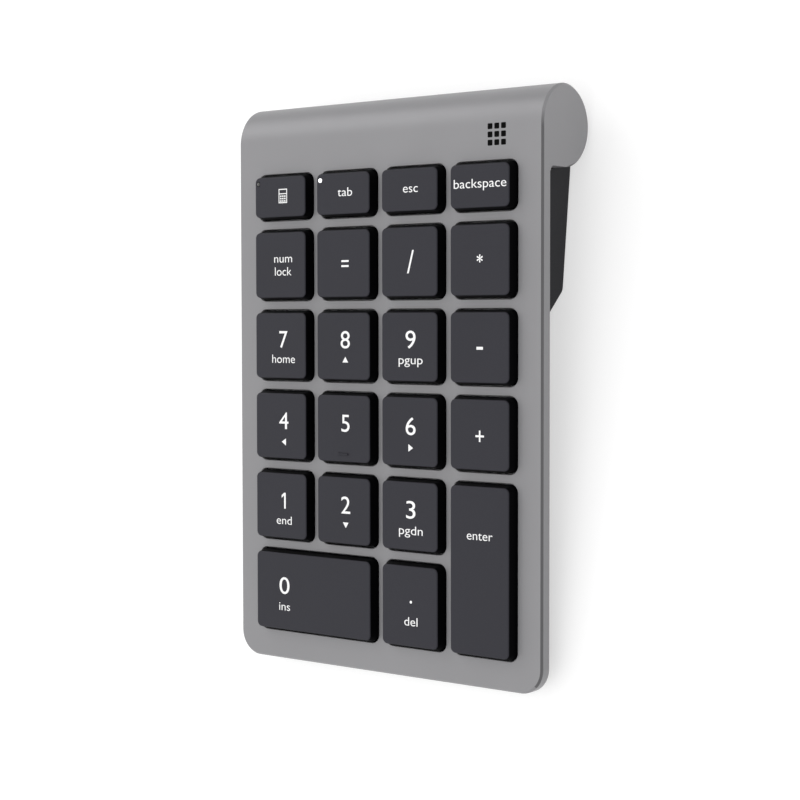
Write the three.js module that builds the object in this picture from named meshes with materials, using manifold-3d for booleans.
// A slim wireless numeric keypad, in millimetres, +Z up, standing on its rubber feet with the user at -Y.
// Two frames are used. The level frame is the desk's, with Z = 0 on the desk. The deck frame is tilted:
// its Z = 0 is the deck's top face, and its Y = 0 is the middle of the row of keys 7, 8 and 9.
import * as THREE from "three";
import { mergeVertices } from "three/addons/utils/BufferGeometryUtils.js";
import Module from "manifold-3d";

const wasm = await Module();
wasm.setup();

const { degToRad: radians, radToDeg: degrees } = THREE.MathUtils;

// Driving dimensions.
const GAP = 0.15; // clearance between two pieces that rest on each other
const TILT = radians(6.2); // the deck's slope on the desk
const PITCH_X = 19; // column to column
const PITCH_Y = 18.7; // row to row
const WEB = 2; // deck left between two key openings
const SHORT_OPENING = 10.85; // front to back, rear row
const LONG_OPENING = 19.48; // front to back, front row
const HALF_WIDTH = 43.3; // deck centre line to its side
const FRONT = -73.8; // deck frame Y of the front wall
const CORNER = 5.6; // radius of the deck's front corners in plan
const EDGE = 0.45; // chamfer round the deck's top edge and the spine's ends
const SKIN = 1.2; // deck thickness
const WALL = 1.4; // side and front wall thickness
const STRIP = 2.95; // how far the side walls reach below the deck's top
const SPINE = { r: 8.9, y: 47.26, z: -8.9, wall: 1.4, end: 3.7, ribs: 5, rib: 1 };
const FILLET = 1.1; // radius where a side wall's lower edge runs into the spine's end
const KEY = { play: 0.25, inset: 0.84, top: 2.2, bottom: -0.9, ceiling: 1, wall: 1.1, corner: 2 };
const KEY_STEPS = 2; // straight runs round each corner of a key and its opening
const WINDOW = 0.45; // radius of a light window
const PLUNGER = { r: 1.6, z: -0.2 };
const DOME = { base: 3.2, top: 1.5, z: -0.35, skin: 0.45, sides: 10 };
const SHEET = { top: -2.85, bottom: -3.15, halfWidth: 37.2, front: -67.5, rear: 40.3 };
const MEMBRANE = { top: -3.25, bottom: -3.45 };
const PLATE = { top: -3.6, bottom: -4.1 };
const FLOOR = { top: -4.8, bottom: -6 };
const TRAY = { halfWidth: 41.7, front: -72.2, rear: 38.2, rim: -1.5, wall: 1.2, edge: 1.1, corner: 4 };
const RISER = { halfWidth: 38.4, front: 12.3, bottom: -15.1, lean: 0.95, wall: 1.3, corner: 1.8 };
const HEEL = { y: 39.4, clear: 0.3 }; // the riser's rear foot, which reaches in under the spine
const PAD = 0.8; // height of the riser's rubber pads
const FOOT = { x: 28, halfWidth: 5.5, front: -68.2, rear: -61, taper: 0.4 };
const CELL = { r: 5.15, length: 44.5, button: 1, buttonR: 1.9 };
const BAY = 25.2; // half the battery bay's length
const PARTITION = 1; // thickness of the walls at the battery bay's ends
const BOSS = { x: 38.85, r: 1.4, hole: 0.75, bottom: -4.65, rows: [-68.4, -33, 1] };
const SCREW = { bore: 0.85, headBore: 1.6, seat: 0.65, head: 1.45, shank: 0.6, tip: -2.2 };
const WIRE = 0.35; // radius of a stabiliser bar
// A stabiliser's measures in its own frame, along the key's long side: the bar turns in two lugs of the
// support plate, and its two arms end in short hooks held by lugs under the keycap.
const BAR = {
  back: 4.6,
  z: -2.2,
  arm: 6,
  rise: radians(20),
  inset: 4.4,
  hook: 1.8,
  lug: 0.9,
  capLug: 1.2, // from the bar's end in to the keycap's lug
  plateLug: 3.5, // from the bar's end in to the plate's lug
};
const BOARD = { x: 34, y0: 41, y1: 53.2, z0: -9.4, z1: -8.6 };
const CONNECTOR = { x0: 1.2, x1: 12.2, y0: 41.2, y1: 43.6, z0: BOARD.z1 + GAP, z1: -6.4 };
// The membrane's tail leaves its rear edge and drops into the connector on the circuit board.
const TAIL = { x0: 2, x1: 11.4, y: 42.2, plug: 0.9 };
const CHAMBER_LOW = -11; // lowest point of the spine's hollow at its open front
const LEAD = 0.35; // radius of an insulated lead

const SPINE_INSIDE = HALF_WIDTH - SPINE.end;
const COS = Math.cos(TILT);
const SIN = Math.sin(TILT);
// The deck frame's place on the desk: the riser's underside is one pad above the desk, and the whole
// keypad is centred front to back between its front wall and the rear of the spine.
const DECK_Z = PAD - RISER.bottom * COS - RISER.front * SIN;
const REAR_REACH = SPINE.y * COS - SPINE.z * SIN + SPINE.r;
const FRONT_REACH = FRONT * COS + EDGE * SIN;
const DECK_Y = -(REAR_REACH + FRONT_REACH) / 2;

const keypad = new THREE.Group();
const deck = new THREE.Group();
deck.rotation.x = TILT;
deck.position.set(0, DECK_Y, DECK_Z);
deck.updateMatrix();
keypad.add(deck);
const levelToDeck = deck.matrix.clone().invert();

function plastic(color, roughness, metalness = 0) {
  return new THREE.MeshStandardMaterial({ color, roughness, metalness });
}

const MATERIAL = {
  shell: plastic(0x8b8b8c, 0.42, 0.2),
  key: plastic(0x2b2b2d, 0.6),
  base: plastic(0x1b1b1c, 0.55),
  rubber: plastic(0x141414, 0.9),
  silicone: plastic(0xb9bcc0, 0.7),
  film: plastic(0xc9ccb8, 0.35),
  steel: plastic(0xa9abad, 0.35, 1),
  board: plastic(0x1d5b35, 0.5),
  chip: plastic(0x111112, 0.45),
  wrap: plastic(0x33373c, 0.35),
  light: plastic(0xf2f4f6, 0.3),
  lead: plastic(0x9b1c1c, 0.5),
};

// Booleans.

function solid(shape) {
  if (!shape.isBufferGeometry) return shape;
  const bare = shape.clone();
  bare.deleteAttribute("normal");
  bare.deleteAttribute("uv");
  const merged = mergeVertices(bare, 1e-4);
  const vertProperties = new Float32Array(merged.attributes.position.array);
  const triVerts = new Uint32Array(merged.index.array);
  return new wasm.Manifold(new wasm.Mesh({ numProp: 3, vertProperties, triVerts }));
}

function join(...shapes) {
  return shapes.map(solid).reduce((whole, piece) => whole.add(piece));
}

function cut(shape, ...tools) {
  return tools.map(solid).reduce((rest, tool) => rest.subtract(tool), solid(shape));
}

function geometryOf(shape) {
  const mesh = solid(shape).getMesh();
  const geometry = new THREE.BufferGeometry();
  geometry.setAttribute("position", new THREE.BufferAttribute(new Float32Array(mesh.vertProperties), 3));
  geometry.setIndex(new THREE.BufferAttribute(new Uint32Array(mesh.triVerts), 1));
  const faceted = geometry.toNonIndexed();
  faceted.computeVertexNormals();
  return faceted;
}

function add(name, shape, material, parent = deck) {
  const mesh = new THREE.Mesh(geometryOf(shape), material);
  mesh.name = name;
  parent.add(mesh);
  return mesh;
}

// Shapes.

function box(x0, x1, y0, y1, z0, z1) {
  const geometry = new THREE.BoxGeometry(x1 - x0, y1 - y0, z1 - z0);
  return geometry.translate((x0 + x1) / 2, (y0 + y1) / 2, (z0 + z1) / 2);
}

function upright(r, x, y, z0, z1, sides = 20) {
  const geometry = new THREE.CylinderGeometry(r, r, z1 - z0, sides);
  return geometry.rotateX(Math.PI / 2).translate(x, y, (z0 + z1) / 2);
}

function lying(r, x0, x1, y, z, sides = 28) {
  const geometry = new THREE.CylinderGeometry(r, r, x1 - x0, sides);
  return geometry.rotateZ(Math.PI / 2).translate((x0 + x1) / 2, y, z);
}

// A flat outline of [y, z] points, drawn along X from x0 to x1.
function drawnX(points, x0, x1) {
  const outline = new THREE.Shape(points.map(([y, z]) => new THREE.Vector2(y, z)));
  const geometry = new THREE.ExtrudeGeometry(outline, { depth: x1 - x0, bevelEnabled: false });
  const turn = new THREE.Matrix4().makeBasis(
    new THREE.Vector3(0, 1, 0),
    new THREE.Vector3(0, 0, 1),
    new THREE.Vector3(1, 0, 0),
  );
  return geometry.applyMatrix4(turn).translate(x0, 0, 0);
}

// The points of an arc in a plane, as [a, b] pairs, from one angle to another in degrees.
function arc(a, b, r, from, to, steps) {
  return Array.from({ length: steps + 1 }, (_, i) => {
    const angle = radians(from + ((to - from) * i) / steps);
    return [a + r * Math.cos(angle), b + r * Math.sin(angle)];
  });
}

// A rectangle from [x0, y0] to [x1, y1] with a radius on each corner, anticlockwise from the front right.
// The rear corners may have their own radius.
function rectangle(x0, x1, y0, y1, r, rear = r, steps = 3) {
  return [
    ...arc(x1 - r, y0 + r, r, -90, 0, steps),
    ...arc(x1 - rear, y1 - rear, rear, 0, 90, steps),
    ...arc(x0 + rear, y1 - rear, rear, 90, 180, steps),
    ...arc(x0 + r, y0 + r, r, 180, 270, steps),
  ];
}

function circle(x, y, r, count) {
  return arc(x, y, r, -90 + 180 / count, 270 - 180 / count, count - 1);
}

// A closed solid through rings of points that all have the same count, each ring { z, points }. The first
// and last rings are closed flat. The rings run down the outside, and may go on up the inside.
function rings(list, place = (a, b, z) => [a, b, z]) {
  const count = list[0].points.length;
  const positions = list.flatMap(({ z, points }) => points.flatMap(([a, b]) => place(a, b, z)));
  const index = [];
  list.slice(1).forEach((_, k) => {
    for (let i = 0; i < count; i++) {
      const next = (i + 1) % count;
      const [p, q] = [k * count + i, k * count + next];
      index.push(p, p + count, q, q, p + count, q + count);
    }
  });
  const last = (list.length - 1) * count;
  for (let i = 1; i < count - 1; i++) {
    index.push(0, i, i + 1);
    index.push(last, last + i + 1, last + i);
  }
  const geometry = new THREE.BufferGeometry();
  geometry.setAttribute("position", new THREE.Float32BufferAttribute(positions, 3));
  geometry.setIndex(index);
  return geometry;
}

function slab(points, z0, z1) {
  return rings([{ z: z1, points }, { z: z0, points }]);
}

// Round wire along straight runs between points, with a ball at each bend.
function wire(points, r, sides = 6) {
  const corners = points.map((point) => new THREE.Vector3(...point));
  const up = new THREE.Vector3(0, 1, 0);
  const runs = corners.slice(1).map((end, i) => {
    const run = end.clone().sub(corners[i]);
    const rod = new THREE.CylinderGeometry(r, r, run.length(), sides);
    rod.applyQuaternion(new THREE.Quaternion().setFromUnitVectors(up, run.clone().normalize()));
    return rod.translate(...corners[i].clone().add(end).divideScalar(2).toArray());
  });
  const balls = corners
    .slice(1, -1)
    .map((corner) => new THREE.SphereGeometry(r, sides, 4).translate(...corner.toArray()));
  return join(...runs, ...balls);
}

// A tube along a smooth curve.
function tube(points, r, steps, sides = 6) {
  const curve = new THREE.CatmullRomCurve3(points.map((point) => new THREE.Vector3(...point)));
  const section = new THREE.Shape(circle(0, 0, r, sides).map(([a, b]) => new THREE.Vector2(a, b)));
  return new THREE.ExtrudeGeometry(section, { steps, extrudePath: curve, bevelEnabled: false });
}

// Deck frame height of the desk under a deck frame Y.
function deskZ(y) {
  return -(DECK_Z + y * SIN) / COS;
}

// Keys. Each opening is a rectangle in the deck frame: its centre and its size.

const NORMAL_OPENING = { w: PITCH_X - WEB, d: PITCH_Y - WEB };

function columnX(column) {
  return (column - 1.5) * PITCH_X;
}

function rowY(row) {
  if (row === 0) return 1.5 * PITCH_Y + WEB / 2 + SHORT_OPENING / 2;
  if (row === 5) return -2.5 * PITCH_Y - WEB / 2 - LONG_OPENING / 2;
  return (2 - row) * PITCH_Y;
}

function rowDepth(row) {
  if (row === 0) return SHORT_OPENING;
  return row === 5 ? LONG_OPENING : NORMAL_OPENING.d;
}

function opening(row, column, rows = 1, columns = 1) {
  const rear = rowY(row) + rowDepth(row) / 2;
  const front = rowY(row + rows - 1) - rowDepth(row + rows - 1) / 2;
  const left = columnX(column) - NORMAL_OPENING.w / 2;
  const right = columnX(column + columns - 1) + NORMAL_OPENING.w / 2;
  return { x: (left + right) / 2, y: (front + rear) / 2, w: right - left, d: rear - front };
}

const NAMES = [
  ["calculator", "tab", "escape", "backspace"],
  ["num_lock", "equals", "divide", "multiply"],
  ["7", "8", "9", "minus"],
  ["4", "5", "6", "plus"],
  ["1", "2", "3"],
];
const keys = NAMES.flatMap((row, r) => row.map((name, c) => ({ name, ...opening(r, c) })));
keys.push({ name: "enter", ...opening(4, 3, 2, 1), stabiliser: "y" });
keys.push({ name: "0", ...opening(5, 0, 1, 2), stabiliser: "x" });
keys.push({ name: "decimal", ...opening(5, 2) });
const lightKeys = keys.filter(({ name }) => name === "calculator" || name === "tab");
const longKeys = keys.filter(({ stabiliser }) => stabiliser);

function keyOutline(key, inset, corner) {
  const [w, d] = [key.w / 2 - inset, key.d / 2 - inset];
  return rectangle(-w, w, -d, d, corner, corner, KEY_STEPS);
}

function barHalf(key) {
  return (key.stabiliser === "x" ? key.w : key.d) / 2 - BAR.inset;
}

// Turns a shape made along X into one made along Y for the tall key.
function alongKey(key, shape) {
  if (key.stabiliser === "x") return shape;
  return shape.isBufferGeometry ? shape.rotateZ(-Math.PI / 2) : shape.rotate([0, 0, -90]);
}

const TIP = { y: BAR.back - BAR.arm * Math.cos(BAR.rise), z: BAR.z + BAR.arm * Math.sin(BAR.rise) };
// How far an arm's tip moves sideways as it turns flat.
const TIP_SLIP = BAR.arm * (1 - Math.cos(BAR.rise));

function keycap(key) {
  const count = 4 * (KEY_STEPS + 1);
  const boss = (r, z) => ({ z, points: circle(0, 0, r, count) });
  const side = (z) => KEY.play + ((KEY.inset - KEY.play) * Math.max(z, 0)) / KEY.top;
  const outer = (z) => ({ z, points: keyOutline(key, side(z), KEY.corner - side(z)) });
  const inset = side(0) + KEY.wall;
  const inner = (z) => ({ z, points: keyOutline(key, inset, KEY.corner - inset) });
  const hollow = [inner(KEY.bottom), inner(KEY.ceiling)];
  const plunger = [boss(PLUNGER.r, KEY.ceiling), boss(PLUNGER.r - 0.1, PLUNGER.z)];
  let cap = solid(rings([outer(KEY.top), outer(0), outer(KEY.bottom), ...hollow, ...plunger]));
  if (key.name === "5") {
    const y = -key.d / 2 + KEY.inset + 1.7;
    cap = join(cap, box(-1.5, 1.5, y - 0.25, y + 0.25, KEY.top - 0.2, KEY.top + 0.25));
  }
  if (lightKeys.includes(key)) {
    const [x, y] = windowPlace(key);
    cap = cut(cap, upright(WINDOW + GAP, x, y, KEY.bottom - 1, KEY.top + 1, 12));
  }
  if (key.stabiliser) {
    for (const end of [-1, 1]) {
      const x = end * (barHalf(key) - BAR.capLug);
      const half = BAR.lug / 2;
      const reach = WIRE + TIP_SLIP + 0.25;
      const lug = box(x - half, x + half, TIP.y - 2, TIP.y + 2, TIP.z - 0.7, KEY.ceiling + 0.2);
      const slot = box(x - 1, x + 1, TIP.y - reach, TIP.y + WIRE + 0.25, TIP.z - 2, TIP.z + WIRE + 0.12);
      cap = join(cap, alongKey(key, cut(lug, slot)));
    }
  }
  return cap;
}

function windowPlace(key) {
  return [-key.w / 2 + KEY.inset + 0.95, key.d / 2 - KEY.inset - 1.4];
}

function addKeys() {
  for (const key of keys) {
    add("key_" + key.name, keycap(key), MATERIAL.key).position.set(key.x, key.y, 0);
  }
  for (const key of lightKeys) {
    const [x, y] = windowPlace(key);
    const bead = upright(WINDOW, 0, 0, KEY.ceiling, KEY.top + 0.02, 12);
    add("window_" + key.name, bead, MATERIAL.light).position.set(key.x + x, key.y + y, 0);
  }
}

function stabiliser(key) {
  const half = barHalf(key);
  const hook = half - BAR.hook;
  const path = [
    [-hook, TIP.y, TIP.z],
    [-half, TIP.y, TIP.z],
    [-half, BAR.back, BAR.z],
    [half, BAR.back, BAR.z],
    [half, TIP.y, TIP.z],
    [hook, TIP.y, TIP.z],
  ];
  return alongKey(key, wire(path, WIRE));
}

// Calls make(x) for the two places along a stabiliser bar where lugs of the support plate hold it.
function atPlateLugs(key, make) {
  return [-1, 1].map((end) => {
    const shape = alongKey(key, make(end * (barHalf(key) - BAR.plateLug)));
    return shape.isBufferGeometry ? shape.translate(key.x, key.y, 0) : shape.translate([key.x, key.y, 0]);
  });
}

// Sheets under the keys.

function sheetOutline(margin = 0) {
  const half = SHEET.halfWidth - margin;
  return rectangle(-half, half, SHEET.front + margin, SHEET.rear - margin, 1);
}

function lugSlots() {
  const [y, half, depth] = [BAR.back, 0.8, 1.3];
  const hole = (x) => box(x - half, x + half, y - depth, y + depth, PLATE.top + 0.02, SHEET.top + 1);
  return longKeys.flatMap((key) => atPlateLugs(key, hole));
}

function domeSheet() {
  const frustum = ({ x, y }, inset, z0, z1) =>
    rings([
      { z: z1, points: circle(x, y, DOME.top - inset / 2, DOME.sides) },
      { z: z0, points: circle(x, y, DOME.base - inset, DOME.sides) },
    ]);
  const outer = keys.map((key) => frustum(key, 0, SHEET.bottom, DOME.z));
  const inner = keys.map((key) => frustum(key, DOME.skin, SHEET.bottom - 0.5, DOME.z - 2 * DOME.skin));
  const lightHoles = lightPlaces().map(([x, y]) => box(x - 1, x + 1, y - 0.7, y + 0.7, -5, 0));
  const sheet = slab(sheetOutline(), SHEET.bottom, SHEET.top);
  return cut(join(sheet, ...outer), ...inner, ...lugSlots(), ...lightHoles);
}

function membrane() {
  const thick = MEMBRANE.top - MEMBRANE.bottom;
  const inner = TAIL.y - thick;
  const tail = [
    [SHEET.rear - 2, MEMBRANE.bottom],
    [inner, MEMBRANE.bottom],
    [inner, CONNECTOR.z1 - TAIL.plug],
    [TAIL.y, CONNECTOR.z1 - TAIL.plug],
    [TAIL.y, MEMBRANE.top],
    [SHEET.rear - 2, MEMBRANE.top],
  ];
  const sheet = slab(sheetOutline(), MEMBRANE.bottom, MEMBRANE.top);
  return cut(join(sheet, drawnX(tail, TAIL.x0, TAIL.x1)), ...lugSlots());
}

function supportPlate() {
  const lug = (x) => {
    const half = BAR.lug / 2;
    const block = box(x - half, x + half, BAR.back - 0.9, BAR.back + 0.9, PLATE.top - 0.2, BAR.z + 0.75);
    return cut(block, lying(WIRE + 0.12, x - 1, x + 1, BAR.back, BAR.z, 12));
  };
  const sheet = slab(sheetOutline(0.4), PLATE.bottom, PLATE.top);
  return join(sheet, ...longKeys.flatMap((key) => atPlateLugs(key, lug)));
}

// Status lights, under the light windows.
function lightPlaces() {
  return lightKeys.map((key) => {
    const [x, y] = windowPlace(key);
    return [key.x + x + 0.5, key.y + y - 0.3];
  });
}

// Electronics in the spine.
function addElectronics() {
  const board = box(-BOARD.x, BOARD.x, BOARD.y0, BOARD.y1, BOARD.z0, BOARD.z1);
  const top = BOARD.z1 + GAP;
  const pinHole = upright(0.7, BOARD.x - 2.5, BOARD.y1 - 2.5, BOARD.z0 - 1, BOARD.z1 + 1, 12);
  add("circuit_board", cut(board, pinHole), MATERIAL.board);
  add("controller_chip", box(14.6, 20.6, 45.5, 51.5, top, top + 0.9), MATERIAL.chip);
  add("crystal", box(22.6, 25, 47, 50.2, top, top + 0.7), MATERIAL.steel);
  const socket = box(CONNECTOR.x0, CONNECTOR.x1, CONNECTOR.y0, CONNECTOR.y1, CONNECTOR.z0, CONNECTOR.z1);
  const { x0, x1, y, plug } = TAIL;
  const tailSlot = box(x0 - 0.2, x1 + 0.2, y - 0.4, y + 0.2, CONNECTOR.z1 - plug - 0.2, 0);
  add("membrane_connector", cut(socket, tailSlot), MATERIAL.silicone);
  lightPlaces().forEach(([x, y], i) => {
    const lamp = box(x - 0.5, x + 0.5, y - 0.3, y + 0.3, MEMBRANE.top + 0.1, SHEET.top + 0.2);
    add("status_light_" + lightKeys[i].name, lamp, MATERIAL.light);
  });
}

// Top shell: deck, side and front walls, spine and screw bosses.

function deckOutline(inset, rear = SPINE.y) {
  const half = HALF_WIDTH - inset;
  return rectangle(-half, half, FRONT + inset, rear, CORNER - inset, 0.01, 5);
}

// The spine's section: round at the rear and below, square at its upper front where the deck runs on.
// Its upper front wall stays in place when the rest is moved in by inset.
function spineOutline(inset) {
  const front = SPINE.y - SPINE.r;
  const curve = arc(SPINE.y, SPINE.z, SPINE.r - inset, 90, -170, 26);
  return [...curve, [front, SPINE.z], [front, -inset]].reverse();
}

function bossPlaces() {
  return BOSS.rows.flatMap((y) => [-BOSS.x, BOSS.x].map((x) => [x, y]));
}

function topShell() {
  const slabRings = [
    { z: 0, points: deckOutline(EDGE) },
    { z: -EDGE, points: deckOutline(0) },
    { z: -STRIP, points: deckOutline(0) },
  ];
  const spineRings = [
    { z: -HALF_WIDTH, points: spineOutline(EDGE) },
    { z: -HALF_WIDTH + EDGE, points: spineOutline(0) },
    { z: HALF_WIDTH - EDGE, points: spineOutline(0) },
    { z: HALF_WIDTH, points: spineOutline(EDGE) },
  ];
  const spine = rings(spineRings.reverse(), (y, z, x) => [x, y, z]);
  const inside = deckOutline(WALL, SPINE.y - SPINE.r);
  const openings = keys.map((key) => {
    return slab(keyOutline(key, 0, KEY.corner), -SKIN - 1, 1).translate(key.x, key.y, 0);
  });
  const keyWell = box(-SPINE_INSIDE, SPINE_INSIDE, SPINE.y - SPINE.r - 1, 42.6, -6, -SKIN);
  const [slotX, slotY] = [BOARD.x + 0.3, BOARD.y1 + 0.3];
  const boardSlot = box(-slotX, slotX, 38, slotY, BOARD.z0 - 0.3, BOARD.z1 + 0.3);
  const holes = bossPlaces().map(([x, y]) => upright(BOSS.hole, x, y, BOSS.bottom - 1, -1.7, 12));
  const bosses = bossPlaces().map(([x, y]) => upright(BOSS.r, x, y, BOSS.bottom, -SKIN + 0.2, 12));
  const body = join(rings(slabRings), spine, ...spineFillets());
  const hollow = cut(body, slab(inside, -STRIP - 1, -SKIN), ...chambers());
  return cut(join(cut(hollow, keyWell, boardSlot, ...openings), ...bosses), ...holes);
}

// Two corner pieces, as thick as the side walls, that fill the corner between a wall and the spine.
function spineFillets() {
  const front = SPINE.y - SPINE.r;
  const corner = [front + FILLET, -STRIP + FILLET];
  const hollow = arc(front - FILLET, -STRIP - FILLET, FILLET, 0, 90, 4);
  const outline = [[corner[0], -STRIP - FILLET], corner, [front - FILLET, corner[1]], ...hollow.reverse()];
  return [-HALF_WIDTH, HALF_WIDTH - WALL].map((x) => drawnX(outline, x, x + WALL));
}

// The spine's hollow, split by thin ribs that hold the circuit board, and open to the front.
function chambers() {
  const r = SPINE.r - SPINE.wall;
  const low = CHAMBER_LOW;
  const end = degrees(Math.asin((SPINE.z - low) / r)) - 180;
  const outline = [[SPINE.y - SPINE.r - 1, SPINE.z + r], ...arc(SPINE.y, SPINE.z, r, 90, end, 14)];
  outline.push([SPINE.y - SPINE.r - 1, low]);
  const width = (2 * SPINE_INSIDE - SPINE.ribs * SPINE.rib) / (SPINE.ribs + 1);
  return Array.from({ length: SPINE.ribs + 1 }, (_, i) => {
    const x = -SPINE_INSIDE + i * (width + SPINE.rib);
    return drawnX([...outline].reverse(), x, x + width);
  });
}

// Bottom cover: tray with rim, and the riser that tilts the keypad.

// The riser's walls in the deck frame, each moved in by inset.
function riserWalls(inset) {
  const length = Math.hypot(RISER.lean, 1);
  const [ny, nz] = [1 / length, RISER.lean / length]; // from the leaning front wall into the riser
  const bottomAt = (y) => RISER.bottom - (y - RISER.front) * Math.tan(TILT) + inset / COS;
  const frontAt = (h) => RISER.front + inset * ny - (h - RISER.bottom - inset * nz) * RISER.lean;
  const shift = (ny - RISER.lean * (1 / COS - nz)) / (1 - RISER.lean * Math.tan(TILT));
  const corner = RISER.front + inset * shift;
  return { frontAt, bottomAt, corner: [corner, bottomAt(corner)], rear: TRAY.rear - inset };
}

// The riser's outside, up to height z: a rounded lower front corner, and a heel that follows the spine.
function riserOutline(z) {
  const { frontAt, bottomAt, rear } = riserWalls(0);
  const centre = riserWalls(RISER.corner).corner;
  const wallFaces = -90 - degrees(Math.atan2(1, RISER.lean));
  const bottomFaces = -90 - degrees(TILT);
  const reach = SPINE.r + HEEL.clear;
  const under = degrees(Math.acos((SPINE.y - HEEL.y) / reach));
  const start = degrees(Math.acos((SPINE.y - rear) / reach));
  return [
    [frontAt(z), z],
    ...arc(...centre, RISER.corner, wallFaces, bottomFaces, 4),
    [HEEL.y, bottomAt(HEEL.y)],
    ...arc(SPINE.y, SPINE.z, reach, under - 180, start - 180, 5),
    [rear, z],
  ];
}

// The riser's inside, one wall thickness in.
function riserRoom(z) {
  const { frontAt, bottomAt, corner, rear } = riserWalls(RISER.wall);
  return [[frontAt(z), z], corner, [rear, bottomAt(rear)], [rear, z]];
}

function level(shape) {
  return shape.applyMatrix4(levelToDeck);
}

// Level frame Y of a deck frame point.
function levelY(y, z) {
  return y * COS - z * SIN + DECK_Y;
}

const RISER_FRONT = levelY(RISER.front, RISER.bottom);
const RISER_REAR = levelY(TRAY.rear, deskZ(TRAY.rear) + PAD / COS);
const RISER_CLIMB = Math.atan2(1, RISER.lean) - TILT; // the front wall's angle over the desk
const DOOR = {
  x: 23.9,
  lip: 1,
  z0: PAD,
  step: 0.8,
  z1: PAD + 1.1,
  rear: RISER_REAR - 3.1,
  grooves: { count: 3, start: 5, pitch: 1.8, width: 0.8, half: 7, depth: 0.35 },
};
const SWITCH = { x: 31.6, y: RISER_FRONT + 8, w: 8.6, d: 3.6, h: 2.8, knob: 2, travel: 2, recess: 0.6 };

function trayOutline(inset, rear = TRAY.rear) {
  const half = TRAY.halfWidth - inset;
  return rectangle(-half, half, TRAY.front + inset, rear, TRAY.corner - inset, 0.01, 4);
}

function bottomCover() {
  const { rear, rim, wall, edge } = TRAY;
  const tray = rings([
    { z: rim, points: trayOutline(0) },
    { z: FLOOR.bottom + edge, points: trayOutline(0) },
    { z: FLOOR.bottom, points: trayOutline(edge) },
  ]);
  const within = slab(trayOutline(wall, rear + 5), FLOOR.top, 0);
  const riser = drawnX(riserOutline(FLOOR.top - 0.1), -RISER.halfWidth, RISER.halfWidth);
  const room = RISER.halfWidth - RISER.wall;
  const rooms = [
    [-room, -BAY - PARTITION],
    [-BAY, BAY],
    [BAY + PARTITION, room],
  ].map(([x0, x1]) => drawnX(riserRoom(FLOOR.top + 1), x0, x1));
  const leadNotch = box(28, 34.2, rear - 2.5, rear + 1, -7.6, FLOOR.top + 1);
  const openings = [...doorOpening(), ...switchOpening(), ...screwHoles()];
  return cut(join(tray, riser), within, ...rooms, leadNotch, ...openings);
}

// The riser's leaning front wall in the level frame: Y at a height over the desk.
function slopeY(z) {
  return RISER_FRONT - (z - PAD) / Math.tan(RISER_CLIMB);
}

// The door's opening: as wide as the door at the bottom, and wider above for its lips.
function doorOpening() {
  const { x, lip, step, rear } = DOOR;
  const front = RISER_FRONT - 4;
  const shelf = PAD + step - GAP;
  const [wide, top] = [x + lip + GAP, PAD + RISER.wall + 0.1];
  const lower = box(-x - GAP, x + GAP, front, rear + GAP, PAD - 1, shelf);
  const upper = box(-wide, wide, front, rear + lip + GAP, shelf - 0.05, top);
  return [level(lower), level(upper)];
}

// The door slides in from the front, on lips along its two sides and its rear edge. Its front edge is
// rounded as the riser's corner is, and three grooves give a thumb its grip.
function batteryDoor() {
  const { x, lip, z0, step, z1, rear, grooves } = DOOR;
  const centre = [RISER_FRONT + RISER.corner * Math.tan(RISER_CLIMB / 2), PAD + RISER.corner];
  const front = arc(...centre, RISER.corner, -90 - degrees(RISER_CLIMB), -90, 4);
  const body = drawnX([[slopeY(z1), z1], ...front, [rear, z0], [rear, z1]], -x, x);
  const lipZ = z0 + step;
  const back = rear + lip;
  const ledge = [[slopeY(lipZ), lipZ], [back, lipZ], [back, z1], [slopeY(z1), z1]];
  const lips = drawnX(ledge, -x - lip, x + lip);
  const grips = Array.from({ length: grooves.count }, (_, i) => {
    const y = RISER_FRONT + grooves.start + grooves.pitch * i;
    return box(-grooves.half, grooves.half, y, y + grooves.width, z0 - 1, z0 + grooves.depth);
  });
  return cut(join(body, lips), ...grips);
}

function switchOpening() {
  const { x, y, w, d, knob, travel, recess } = SWITCH;
  const half = (knob + travel) / 2 + GAP;
  const side = w / 2 - recess;
  const hollow = box(x - side, x + side, y - d / 2, y + d / 2, PAD - 1, PAD + recess);
  const play = knob / 2 + GAP;
  const slot = box(x - half, x + half, y - play, y + play, PAD - 1, PAD + RISER.wall + 0.2);
  return [level(hollow), level(slot)];
}

function addSwitch() {
  const { x, y, w, d, h, knob, travel } = SWITCH;
  const z = PAD + RISER.wall + GAP;
  const half = (knob + travel) / 2 + GAP;
  const room = box(x - half, x + half, y - knob / 2 - GAP, y + knob / 2 + GAP, z - 1, z + 1.6);
  const body = cut(box(x - w / 2, x + w / 2, y - d / 2, y + d / 2, z, z + h), room);
  add("switch_body", body, MATERIAL.steel, keypad);
  const left = x - (knob + travel) / 2;
  const slider = box(left, left + knob, y - knob / 2, y + knob / 2, PAD + 0.1, z + 1.4);
  add("switch_knob", slider, MATERIAL.base, keypad);
}

function screwHoles() {
  const { bore, headBore, seat } = SCREW;
  return bossPlaces().flatMap(([x, y]) => [
    upright(bore, x, y, FLOOR.bottom - 1, FLOOR.top + 1, 12),
    upright(headBore, x, y, FLOOR.bottom - 1, FLOOR.bottom + seat, 12),
  ]);
}

function screw() {
  const { head, shank, tip } = SCREW;
  const low = FLOOR.bottom + 0.1;
  const profile = [
    [0, low + 0.25],
    [0.45, low + 0.25],
    [0.6, low],
    [head, low],
    [head, low + 0.4],
    [shank, low + 0.4],
    [shank, tip],
    [0, tip + 0.25],
  ];
  const lathe = new THREE.LatheGeometry(profile.map(([r, z]) => new THREE.Vector2(r, z)), 10);
  return lathe.rotateX(Math.PI / 2);
}

// Batteries. The front cell has its button on the right, the rear one on the left.

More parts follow.
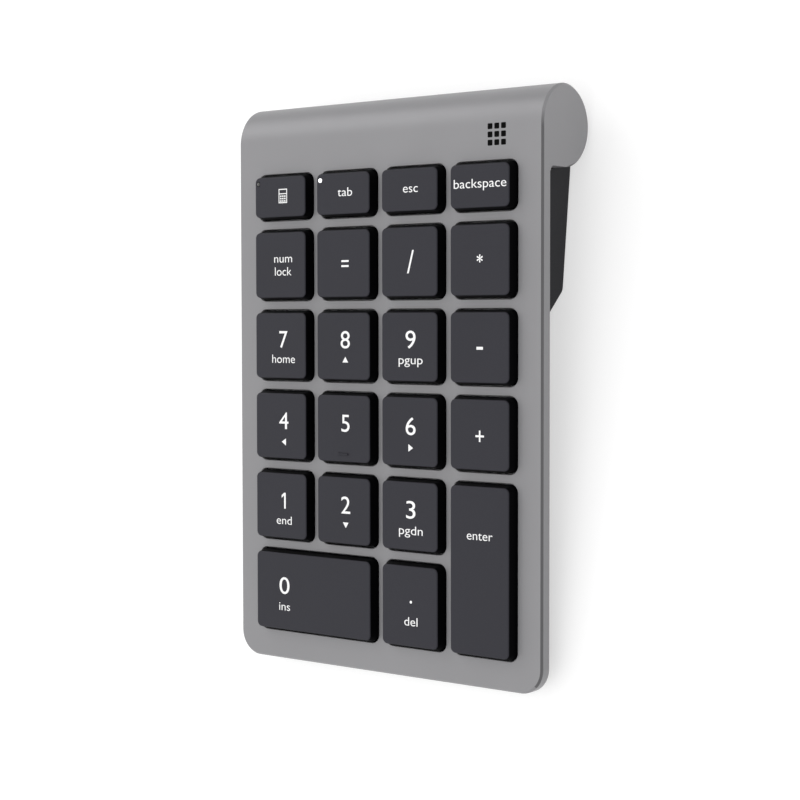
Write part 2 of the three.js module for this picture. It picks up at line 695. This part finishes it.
const CONTACT = 1.4; // from the bay's end wall to a cell's button
const CELL_X = BAY - CONTACT;
const CELLS = [
  { name: "front", y: 19.4, z: -9.4, side: 1 },
  { name: "rear", y: 30.9, z: -10.4, side: -1 },
];

function cell({ y, z, side }) {
  const end = CELL_X - CELL.button;
  const body = lying(CELL.r, end - CELL.length + CELL.button, end, y, z);
  const whole = join(body, lying(CELL.buttonR, end - 0.5, CELL_X, y, z, 16));
  return side > 0 ? whole : whole.mirror([1, 0, 0]);
}

// A tapering coil of wire on the bay's left wall, facing right.
function spring({ y, z }) {
  const turns = 3;
  const x0 = -BAY + GAP + 0.45;
  const length = 2 * BAY - CONTACT - CELL.length - 0.8;
  const points = Array.from({ length: turns * 8 + 1 }, (_, i) => {
    const part = i / (turns * 8);
    const angle = 2 * Math.PI * turns * part;
    const r = 3.4 - 1.4 * part;
    return [x0 + (length - 0.2) * part, y + r * Math.cos(angle), z + r * Math.sin(angle)];
  });
  return tube(points, 0.25, turns * 12, 6);
}

function addBatteries() {
  const [front, rear] = CELLS;
  CELLS.forEach((one) => add("battery_cell_" + one.name, cell(one), MATERIAL.wrap));
  const x0 = -BAY + GAP;
  const plate = (y0, y1, z0, z1) => box(x0, x0 + 0.3, y0, y1, z0, z1);
  const dimple = ({ y, z }) => lying(1.2, x0 + 0.2, x0 + 1.1, y, z, 12);
  const pad = ({ y, z }) => plate(y - 4, y + 4, z - 4, z + 4);
  const strip = plate(front.y - 4, rear.y + 4, front.z - 4, rear.z + 4);
  const bridge = join(strip, spring(front), dimple(rear));
  add("battery_bridge", bridge, MATERIAL.steel);
  add("negative_terminal", join(pad(rear), spring(rear)).mirror([1, 0, 0]), MATERIAL.steel);
  add("positive_terminal", join(pad(front), dimple(front)).mirror([1, 0, 0]), MATERIAL.steel);
}

// Thin insulated leads from the battery terminals and the switch to the circuit board.
function addLeads() {
  const route = (start, x) => [
    start,
    [x, start[1] + 3, -7],
    [x, TRAY.rear - 1, -6.2],
    [x, TRAY.rear + 1.6, -7.2],
    [x, BOARD.y0 - 0.4, -10],
    [x, BOARD.y0 + 2, BOARD.z0 - LEAD - GAP],
  ];
  const wall = BAY + PARTITION + GAP;
  add("positive_lead", tube(route([wall, 20, -9], 29), LEAD, 24), MATERIAL.lead);
  add("negative_lead", tube(route([wall, 29, -9], 31), LEAD, 20), MATERIAL.chip);
  add("switch_lead", tube(route([SWITCH.x + 2, 22.5, -10.2], 33), LEAD, 24), MATERIAL.chip);
}

// Rubber feet.

function frontFoot(x) {
  const { halfWidth, front, rear, taper } = FOOT;
  const top = FLOOR.bottom - GAP;
  const outline = [
    [front + taper, deskZ(front + taper)],
    [rear - taper, deskZ(rear - taper)],
    [rear, top],
    [front, top],
  ];
  return drawnX(outline, x - halfWidth, x + halfWidth);
}

function addFeet() {
  for (const [side, sign] of [["left", -1], ["right", 1]]) {
    add("front_foot_" + side, frontFoot(sign * FOOT.x), MATERIAL.rubber);
    const y0 = RISER_REAR - 11.5;
    const pad = slab(rectangle(-4.8, 4.8, y0, y0 + 9, 1.2), 0, PAD - GAP);
    add("riser_pad_" + side, pad, MATERIAL.rubber, keypad).position.x = sign * 31.8;
  }
}

add("top_shell", topShell(), MATERIAL.shell);
add("bottom_cover", bottomCover(), MATERIAL.base);
add("battery_door", batteryDoor(), MATERIAL.base, keypad);
add("dome_sheet", domeSheet(), MATERIAL.silicone);
add("membrane_circuit", membrane(), MATERIAL.film);
add("support_plate", supportPlate(), MATERIAL.steel);
addKeys();
for (const key of longKeys) {
  add("stabiliser_" + key.name, stabiliser(key), MATERIAL.steel).position.set(key.x, key.y, 0);
}
addElectronics();
addBatteries();
addSwitch();
addLeads();
addFeet();
bossPlaces().forEach(([x, y], i) => {
  add("case_screw_" + (i + 1), screw(), MATERIAL.steel).position.set(x, y, 0);
});

export default keypad;
